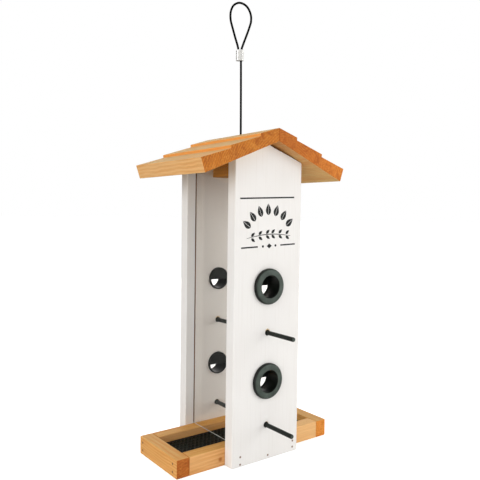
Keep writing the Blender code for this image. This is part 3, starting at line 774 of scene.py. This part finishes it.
def makeWall(side):
    node = side + "_wall"
    low, high = bothEnds(node)
    shoulder = bothEnds("left_pane")[1].z + wallLook["shoulder"]
    outline = [(low.x, low.z), (high.x, low.z), (high.x, shoulder), (0, high.z), (low.x, shoulder)]
    shape = prismShape(outline, low.y, high.y, wallLook["edge"])
    cutters = []
    inner = low.y if side == "back" else high.y
    for pane in ("left_pane", "right_pane"):
        paneLow, paneHigh = bothEnds(pane)
        start, end = sorted((-sides[side] * 2 * mm + inner, inner + sides[side] * wallLook["kerfDepth"]))
        clearance = wallLook["kerfClearance"]
        cutters.append(boxShape(
            (paneLow.x - clearance, start, -10 * mm), (paneHigh.x + clearance, end, high.z + 10 * mm),
        ))
    reach = (low.y - 10 * mm, high.y + 10 * mm)
    for level in ("upper", "lower"):
        portLow, portHigh = bothEnds(f"port_{side}_{level}")
        height = (portLow.z + portHigh.z) / 2
        cutters.append(
            rodShape((0, reach[0], height), (0, reach[1], height), portLook["tube"] + wallLook["gap"], 72),
        )
        bushLow, bushHigh = bothEnds(f"perch_bush_{side}_{level}")
        height, radius = (bushLow.z + bushHigh.z) / 2, (bushHigh.z - bushLow.z) / 2
        cutters.append(rodShape((0, reach[0], height), (0, reach[1], height), radius + wallLook["gap"], 36))
    for number in range(1, 6):
        nailLow, nailHigh = bothEnds(f"wall_nail_{side}_{number}")
        middle = (nailLow + nailHigh) / 2
        cutters.append(rodShape(
            (middle.x, reach[0], middle.z), (middle.x, reach[1], middle.z),
            (nailHigh.z - nailLow.z) / 2 + wallLook["gap"] / 2, 20,
        ))
    if side == "front":
        # the right slope is cut lower towards the peak, which leaves a thin dark gap under the roof
        above = high.z + 5 * mm
        wedge = [(high.x, shoulder), (high.x, above), (0, above), (0, high.z - wallLook["sag"])]
        cutters.append(prismShape(wedge, *reach, 0.1 * mm))
    mesh = cutMesh(shape, cutters)
    wall = finishMesh(node + "_painted", mesh, paint, node, smooth=35, weighted=True)
    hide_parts(node)


portLook = {
    "flange": 19.0 * mm, "tube": 12.7 * mm, "bore": 11.8 * mm, "depth": 15.0 * mm, "proud": 4.5 * mm,
    "corner": 2.6 * mm, "lip": 0.8 * mm, "hood": 1.2 * mm, "hoodEdge": -0.8 * mm, "mouth": 11.3 * mm,
    "gap": 0.3 * mm,
}
for side in sides:
    makeWall(side)
print("walls made")


def makePort(side, level):
    # A flanged tube with a floor; the floor's upper half is the hood that keeps seed from pouring out
    look = portLook
    node = f"port_{side}_{level}"
    low, high = bothEnds(node)
    height = (low.z + high.z) / 2
    wallLow, wallHigh = bothEnds(side + "_wall")
    outer = wallLow.y if side == "front" else wallHigh.y
    outward = Vector((0, sides[side], 0))
    floor = -look["depth"]
    corner, lip = look["corner"], look["lip"]
    shoulder = arcPoints((look["flange"] - corner, look["proud"] - corner), corner, 90, 0, 10)
    innerLip = arcPoints((look["bore"] + lip, look["proud"] - lip), lip, 180, 90, 6)
    profile = [
        (0, floor + look["hood"]), (look["bore"] - 0.5 * mm, floor + look["hood"]),
        (look["bore"], floor + look["hood"] + 0.5 * mm), *innerLip, *shoulder,
        (look["flange"], look["gap"]), (look["tube"], look["gap"]), (look["tube"], floor), (0, floor),
    ]
    shape = turnedShape(profile, (0, outer, height), outward, 96)
    mouth = rodShape(
        (0, outer + sides[side] * (floor - 3 * mm), height),
        (0, outer + sides[side] * (floor + 3 * mm), height), look["mouth"], 96,
    )
    bmesh.ops.bisect_plane(
        mouth, geom=mouth.verts[:] + mouth.edges[:] + mouth.faces[:],
        plane_co=(0, 0, height + look["hoodEdge"]), plane_no=(0, 0, 1), clear_outer=True,
    )
    bmesh.ops.holes_fill(mouth, edges=[edge for edge in mouth.edges if edge.is_boundary], sides=0)
    bmesh.ops.recalc_face_normals(mouth, faces=mouth.faces)
    mesh = cutMesh(shape, [mouth])
    port = finishMesh(
        node + "_moulded", mesh, black["mouldedBlackAbs"], node, smooth=32, weighted=True,
    )
    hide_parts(node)


for side in sides:
    for level in ("upper", "lower"):
        makePort(side, level)
print("ports made")


perchLook = {"endRadius": 0.9 * mm}
bushLook = {"clearance": 0.15 * mm, "edge": 0.3 * mm}


def makePerch(level):
    node = "perch_" + level
    low, high = bothEnds(node)
    radius, height, edge = (high.z - low.z) / 2, (high.z + low.z) / 2, perchLook["endRadius"]
    reach = high.y
    top = arcPoints((radius - edge, reach - edge), edge, 90, 0, 6)
    bottom = [(r, -z) for r, z in reversed(top)]
    shape = turnedShape([(0, reach), *top, *bottom, (0, -reach)], (0, 0, height), (0, 1, 0), 40)
    perch = finishPiece(node + "_coated", shape, black["powderCoatedRod"], node, smooth=50)
    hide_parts(node)


def makeBush(side, level):
    node = f"perch_bush_{side}_{level}"
    low, high = bothEnds(node)
    perchLow, perchHigh = bothEnds("perch_" + level)
    bore = (perchHigh.z - perchLow.z) / 2 + bushLook["clearance"]
    radius, half, edge = (high.z - low.z) / 2, (high.y - low.y) / 2, bushLook["edge"]
    top = [(bore, half)] + arcPoints((radius - edge, half - edge), edge, 90, 0, 4)
    bottom = [(r, -z) for r, z in reversed(top)]
    shape = turnedShape(top + bottom, (low + high) / 2, (0, 1, 0), 40)
    bush = finishPiece(
        node + "_moulded", shape, black["mouldedBlackRubber"], node, smooth=40,
    )
    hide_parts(node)


for level in ("upper", "lower"):
    makePerch(level)
    for side in sides:
        makeBush(side, level)
print("perches made")


trayLook = {"edge": 0.7 * mm, "gap": 0.3 * mm, "nailGap": 0.15 * mm}
screenLook = {"pitch": (5.0 * mm, 3.6 * mm), "hole": (3.1 * mm, 2.0 * mm), "thick": 0.9 * mm, "corners": 12,
              "margin": 2.5 * mm}


def makeRail(name, material):
    node = f"tray_{name}_rail"
    low, high = bothEnds(node)
    screenLow, screenHigh = bothEnds("tray_screen")
    gap = Vector((1, 1, 1)) * trayLook["gap"]
    cutters = [boxShape(screenLow - gap, screenHigh + gap)]
    for nail in [n for n in frame["nodes"] if "_nail_" in n]:
        nailLow, nailHigh = bothEnds(nail)
        middle, size = (nailLow + nailHigh) / 2, nailHigh - nailLow
        if all(nailLow[i] < high[i] and nailHigh[i] > low[i] for i in range(3)):
            along = max(range(3), key=lambda i: size[i])
            reach = Vector([size[along] / 2 + trayLook["gap"] if i == along else 0 for i in range(3)])
            radius = min(size) / 2 + trayLook["nailGap"]
            cutters.append(rodShape(middle - reach, middle + reach, radius, 20))
    mesh = cutMesh(boxShape(low, high, trayLook["edge"]), cutters)
    rail = finishMesh(node + "_cedar", mesh, material, node, smooth=35, weighted=True)
    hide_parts(node)


def makeScreen():
    # Perforated sheet: rows of oval holes, each row half a pitch on from the last
    look = screenLook
    low, high = bothEnds("tray_screen")
    pitchX, pitchY = look["pitch"]
    columns = int((high.x - low.x - 2 * look["margin"]) / pitchX)
    rows = int((high.y - low.y - 2 * look["margin"]) / pitchY)
    shape = bmesh.new()
    middle = (low + high) / 2

    def addCell(centreX, centreY, halfX, halfY):
        # a rectangle with an oval hole: two loops bridged
        circle = {"cap_ends": False, "segments": look["corners"], "radius": 1.0}
        hole = bmesh.ops.create_circle(shape, **circle)["verts"]
        frameLoop = bmesh.ops.create_circle(shape, **circle)["verts"]
        centre = Vector((centreX, centreY, 0))
        for vert in hole:
            vert.co = centre + Vector((vert.co.x * look["hole"][0] / 2, vert.co.y * look["hole"][1] / 2, 0))
        for vert in frameLoop:
            stretch = 1 / max(abs(vert.co.x), abs(vert.co.y))
            vert.co = centre + Vector((vert.co.x * stretch * halfX, vert.co.y * stretch * halfY, 0))
        rims = {edge for vert in hole + frameLoop for edge in vert.link_edges}
        bmesh.ops.bridge_loops(shape, edges=list(rims))

    def addPlain(x0, y0, x1, y1):
        if x1 - x0 > 1e-6:
            corners = ((x0, y0), (x1, y0), (x1, y1), (x0, y1))
            shape.faces.new([shape.verts.new((x, y, 0)) for x, y in corners])

    startX, startY = -columns * pitchX / 2, -rows * pitchY / 2
    halfWide, halfDeep = (high.x - low.x) / 2, (high.y - low.y) / 2
    for row in range(rows):
        slide = pitchX / 2 * (row % 2)
        count = columns - row % 2
        y = startY + (row + 0.5) * pitchY
        for column in range(count):
            addCell(startX + slide + (column + 0.5) * pitchX, y, pitchX / 2, pitchY / 2)
        addPlain(-halfWide, y - pitchY / 2, startX + slide, y + pitchY / 2)
        addPlain(startX + slide + count * pitchX, y - pitchY / 2, halfWide, y + pitchY / 2)
    addPlain(-halfWide, -halfDeep, halfWide, startY)
    addPlain(-halfWide, startY + rows * pitchY, halfWide, halfDeep)
    bmesh.ops.remove_doubles(shape, verts=shape.verts, dist=1e-5)
    bmesh.ops.recalc_face_normals(shape, faces=shape.faces)
    if sum(face.normal.z for face in shape.faces) < 0:
        bmesh.ops.reverse_faces(shape, faces=shape.faces)
    bmesh.ops.translate(shape, vec=(middle.x, middle.y, high.z), verts=shape.verts)
    screen = finishPiece(
        "tray_screen_perforated", shape, black["blackCoatedScreen"], "tray_screen", smooth=30,
    )
    solid = screen.modifiers.new("Sheet", "SOLIDIFY")
    solid.thickness = look["thick"]
    solid.offset = -1
    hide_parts("tray_screen")


for side in sides:
    makeRail(side, cedar["trayLongCedar"])
for end in ends:
    makeRail(end, cedar[f"tray{end.capitalize()}Cedar"])
makeScreen()
print("tray made")


paneLook = {"edge": 0.2 * mm}


def makePane(end):
    node = end + "_pane"
    low, high = bothEnds(node)
    shape = boxShape(low, high, paneLook["edge"], 2)
    pane = finishPiece(node + "_acrylic", shape, acrylic, node, smooth=35, weighted=True)
    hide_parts(node)


for end in ends:
    makePane(end)
print("panes made")


roofLook = {
    "edge": 0.5 * mm, "ridgeUnder": 0.3356, "eaveTop": (0.0949, 0.3130), "eaveBottom": (0.0901, 0.2988),
    "steps": (((0.0613, 0.3268), (0.0606, 0.3239)), ((0.0246, 0.3416), (0.0244, 0.3387))),
    "hole": 2.6 * mm,
}


def makeRoof(end):
    look = roofLook
    node = "roof_" + end
    low, high = bothEnds(node)
    mitre = min(abs(low.x), abs(high.x))
    outline = [(mitre, look["ridgeUnder"]), look["eaveBottom"], look["eaveTop"]]
    for lipTop, lipFoot in look["steps"]:
        outline += [lipFoot, lipTop]
    outline.append((mitre, high.z))
    outline = [(ends[end] * x, z) for x, z in outline]
    shape = prismShape(outline, low.y, high.y, look["edge"])
    mesh = cutMesh(shape, [rodShape((0, 0, low.z), (0, 0, high.z + 10 * mm), look["hole"], 48)])
    material = cedar[f"roof{end.capitalize()}Cedar"]
    board = finishMesh(node + "_cedar", mesh, material, node, smooth=35, weighted=True)
    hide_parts(node)


blockLook = {"edge": 0.6 * mm, "hole": 1.5 * mm}
ringLook = {"bore": 1.35 * mm, "edge": 0.2 * mm}


def makeBlock():
    low, high = bothEnds("cross_block")
    hole = rodShape((0, 0, low.z - 5 * mm), (0, 0, high.z + 5 * mm), blockLook["hole"], 32)
    mesh = cutMesh(boxShape(low, high, blockLook["edge"]), [hole])
    block = finishMesh(
        "cross_block_cedar", mesh, cedar["blockCedar"], "cross_block", weighted=True,
    )
    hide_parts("cross_block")


def makeRing(node):
    low, high = bothEnds(node)
    radius, half, edge = (high.x - low.x) / 2, (high.z - low.z) / 2, ringLook["edge"]
    top = [(ringLook["bore"], half)] + arcPoints((radius - edge, half - edge), edge, 90, 0, 3)
    bottom = [(r, -z) for r, z in reversed(top)]
    shape = turnedShape(top + bottom, (low + high) / 2, (0, 0, 1), 48)
    ring = finishPiece(node + "_turned", shape, aluminium, node, smooth=40)
    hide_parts(node)


for end in ends:
    makeRoof(end)
makeBlock()
makeRing("cable_washer")
makeRing("cable_stop")
for name, node in frame["nodes"].items():
    if "_nail_" in name:
        node.data.materials.clear()
        node.data.materials.append(nailSteel)
print("roof, block and nails done")


printLook = {
    "proud": 0.08 * mm, "rule": 1.5 * mm, "upperRule": 0.2782, "lowerRule": 0.2279,
    "left": -0.0374, "right": 0.0354, "gap": (-0.0159, 0.0147), "tilt": 2.4,
    # the fan of leaves: the middle of its arc, where the leaves start, their size and their spacing
    "fanMiddle": (-0.0008, 0.2307), "fanRadius": 29.5 * mm, "leaf": (12.0 * mm, 6.6 * mm), "fanStep": 18,
    # the sprig: its two ends, the height of its stem and how much that bows up, its leaves
    "sprig": (-0.0300, 0.0290, 0.2372), "sprigBow": 3.0 * mm, "stem": 0.9 * mm, "stemSteps": 24,
    "sprigLeaf": (6.2 * mm, 3.2 * mm), "sprigPairs": 6, "sprigLean": 38, "stalk": (0.8 * mm, 1.0 * mm),
    # half the diamond's width and height, and how far out its two dots are and their radius
    "diamond": (3.4 * mm, 2.6 * mm), "dots": (8.5 * mm, 1.3 * mm),
}


def flatPiece(shape, outline):
    shape.faces.new([shape.verts.new((x, 0, z)) for x, z in outline])


def leafOutline(place, angle, length, width, steps=7):
    # A pointed leaf: two bowed sides from stalk to tip
    turn = math.radians(angle)
    along, across = (math.cos(turn), math.sin(turn)), (-math.sin(turn), math.cos(turn))
    side = [(t / steps, width / 2 * math.sin(math.pi * (t / steps) ** 0.8)) for t in range(steps + 1)]
    points = side + [(t, -w) for t, w in reversed(side[1:-1])]
    return [
        (place[0] + along[0] * t * length + across[0] * w, place[1] + along[1] * t * length + across[1] * w)
        for t, w in points
    ]


def halfLeafOutline(place, angle, length, width, side, vein=0.35 * mm, steps=10):
    # Half a leaf on one side of its vein
    turn = math.radians(angle)
    along, across = (math.cos(turn), math.sin(turn)), (-math.sin(turn) * side, math.cos(turn) * side)
    outer = [
        (t / steps, vein / 2 + width * math.sin(math.pi * (t / steps) ** 0.75)) for t in range(steps + 1)
    ]
    points = [(0, vein / 2)] + outer[1:-1] + [(1, vein / 2)]
    outline = [
        (place[0] + along[0] * t * length + across[0] * w, place[1] + along[1] * t * length + across[1] * w)
        for t, w in points
    ]
    return outline if side > 0 else outline[::-1]


def ribbonOutline(points, width):
    # A thin line with that width along a smooth run of points, thinner at both ends
    left, right = [], []
    for i, (x, z) in enumerate(points):
        before, after = points[max(i - 1, 0)], points[min(i + 1, len(points) - 1)]
        dx, dz = after[0] - before[0], after[1] - before[1]
        size = math.hypot(dx, dz)
        half = width / 2 * (0.35 + 0.65 * math.sin(math.pi * (i + 0.5) / len(points)))
        left.append((x - dz / size * half, z + dx / size * half))
        right.append((x + dz / size * half, z - dx / size * half))
    return left + right[::-1]


def makePrint():
    look = printLook
    wallFace = bothEnds("front_wall")[0].y
    shape = bmesh.new()
    half = look["rule"] / 2
    for start, end, height in (
        (look["left"], look["right"], look["upperRule"]),
        (look["left"], look["gap"][0], look["lowerRule"]),
        (look["gap"][1], look["right"], look["lowerRule"]),
    ):
        foot, top = height - half, height + half
        flatPiece(shape, [(start, foot), (end, foot), (end, top), (start, top)])
    # a fan of seven split leaves
    length, width = look["leaf"]
    for place in range(-3, 4):
        angle = 90 - place * look["fanStep"]
        turn = math.radians(angle)
        stalk = [middle + look["fanRadius"] * part for middle, part in
                 zip(look["fanMiddle"], (math.cos(turn), math.sin(turn)))]
        flatPiece(shape, halfLeafOutline(stalk, angle, length, width / 2, 1))
        flatPiece(shape, halfLeafOutline(stalk, angle, length, width / 2, -1))
    # a bowed sprig below it, with its leaves in pairs
    start, end, height = look["sprig"]
    steps = look["stemSteps"]
    stem = [
        (start + (end - start) * i / steps, height + look["sprigBow"] * math.sin(math.pi * i / steps))
        for i in range(steps + 1)
    ]
    flatPiece(shape, ribbonOutline(stem, look["stem"]))
    length, width = look["sprigLeaf"]
    for pair in range(look["sprigPairs"]):
        x, z = stem[2 + round(pair * (steps - 5) / (look["sprigPairs"] - 1))]
        for up in (1, -1):
            stalk = (x + look["stalk"][0], z + up * look["stalk"][1])
            flatPiece(shape, leafOutline(stalk, up * look["sprigLean"], length, width))
    # a small diamond between two dots
    middle = sum(look["gap"]) / 2
    z, (wide, tall), (away, radius) = look["lowerRule"], look["diamond"], look["dots"]
    flatPiece(shape, [(middle - wide, z), (middle, z - tall), (middle + wide, z), (middle, z + tall)])
    for offset in (-away, away):
        flatPiece(shape, arcPoints((middle + offset, z), radius, 0, 345, 23))
    bmesh.ops.triangulate(shape, faces=shape.faces)
    grown = bmesh.ops.extrude_face_region(shape, geom=shape.faces[:])
    moved = [item for item in grown["geom"] if isinstance(item, bmesh.types.BMVert)]
    bmesh.ops.translate(shape, vec=(0, 2 * look["proud"], 0), verts=moved)
    bmesh.ops.recalc_face_normals(shape, faces=shape.faces)
    bmesh.ops.translate(shape, vec=(0, wallFace - look["proud"], 0), verts=shape.verts)
    centre = (0, wallFace, (look["upperRule"] + look["lowerRule"]) / 2)
    tilt = Matrix.Rotation(-math.radians(look["tilt"]), 3, "Y")
    bmesh.ops.rotate(shape, cent=centre, matrix=tilt, verts=shape.verts)
    finishPiece("front_wall_print", shape, ink, "front_wall", smooth=30)


makePrint()
print("ornament printed")


stageLook = {
    "floor": "FDFDFD", "floorMottle": "FAFAFA", "floorRadius": 30.0, "floorLift": 0.52,
    # the studio is dim behind the feeder's left, so black pieces have something dark to reflect
    "glow": 0.70, "dim": 0.08, "dimSide": (-0.6, 0.8, 0.0), "dimEdges": (0.1, 0.8),
    "floorNear": 0.96, "floorFar": 0.15, "floorDimEdges": (-0.25, 0.40),
    # name: (place, aim, width, height, watts)
    "lamps": {
        "keySoftbox": ((0.95, -1.18, 0.46), (0, 0, 0.22), 0.9, 0.9, 6.2),
        "topSoftbox": ((-0.25, -0.10, 1.50), (0, 0, 0.20), 1.1, 1.1, 4.0),
        "leftFill": ((-1.35, -0.12, 0.50), (0, 0, 0.24), 1.4, 0.9, 12.0),
        "backFill": ((0.70, 1.45, 0.50), (0, 0, 0.22), 1.2, 0.9, 5.0),
    },
}


def seenRays(tree):
    # 1 for what the camera sees, straight or through the panes, and 0 for what only lights the feeder
    path = addNode(tree, "LightPath")
    bounces = addNode(tree, "Math", [path.outputs["Diffuse Depth"], path.outputs["Glossy Depth"]])
    direct = addNode(tree, "Math", [bounces, 0.5], operation="LESS_THAN")
    through = addNode(tree, "Math", [path.outputs["Is Transmission Ray"], direct], operation="MULTIPLY")
    return addNode(tree, "Math", [path.outputs["Is Camera Ray"], through], operation="MAXIMUM")


def makeStage():
    shape = bmesh.new()
    bmesh.ops.create_circle(shape, cap_ends=True, segments=64, radius=stageLook["floorRadius"])
    bmesh.ops.translate(shape, vec=(0, 0, -0.2 * mm), verts=shape.verts)
    floor = looseObject("studioFloor", shape)
    material, tree, shader, place, _ = newMaterial(
        "matteStudioFloor", Roughness=0.9, Specular_IOR_Level=0.1,
    )
    noise = addNode(tree, "TexNoise", {"Vector": place, "Scale": 8.0})
    colour = addNode(tree, "Mix", {
        "Factor": noise, "A": hexColour(stageLook["floor"]), "B": hexColour(stageLook["floorMottle"]),
    }, data_type="RGBA")
    seen = seenRays(tree)
    side = addNode(tree, "VectorMath", [place, stageLook["dimSide"]], operation="DOT_PRODUCT")
    near, far = stageLook["floorDimEdges"]
    dimming = addNode(tree, "MapRange", [
        side, near, far, stageLook["floorNear"], stageLook["floorFar"],
    ], interpolation_type="SMOOTHSTEP")
    shade = addNode(tree, "Math", [dimming, seen], operation="MAXIMUM")
    colour = addNode(tree, "VectorMath", [colour, shade], operation="MULTIPLY")
    # the floor is lifted to the white of the backdrop, so that no horizon shows
    lift = addNode(tree, "Math", [seen, stageLook["floorLift"]], operation="MULTIPLY")
    connect(tree, shader, {"Base Color": colour, "Emission Color": (1, 1, 1, 1), "Emission Strength": lift})
    floor.data.materials.append(material)
    world = bpy.data.worlds.new("studio")
    bpy.context.scene.world = world
    world.use_nodes = True
    # the backdrop is white to look at, whatever light it gives
    room = world.node_tree
    where = addNode(room, "TexCoord")
    side = addNode(
        room, "VectorMath", [where.outputs["Generated"], stageLook["dimSide"]], operation="DOT_PRODUCT",
    )
    near, far = stageLook["dimEdges"]
    glow = addNode(room, "MapRange", [
        side, near, far, stageLook["glow"], stageLook["dim"],
    ], interpolation_type="SMOOTHSTEP")
    strength = addNode(room, "MapRange", {"Value": seenRays(room), "To Min": glow, "To Max": 1.0})
    connect(room, room.nodes["Background"], {"Color": (1, 1, 1, 1), "Strength": strength})
    for name, (place, aim, width, height, watts) in stageLook["lamps"].items():
        data = bpy.data.lights.new(name, "AREA")
        data.shape = "RECTANGLE"
        data.size, data.size_y, data.energy = width, height, watts
        lamp = bpy.data.objects.new(name, data)
        lamp.location = place
        lamp.rotation_euler = (Vector(aim) - Vector(place)).to_track_quat("-Z", "Y").to_euler()
        bpy.context.scene.collection.objects.link(lamp)
    bpy.context.scene.view_settings.view_transform = "Standard"


makeStage()
print("stage lit")
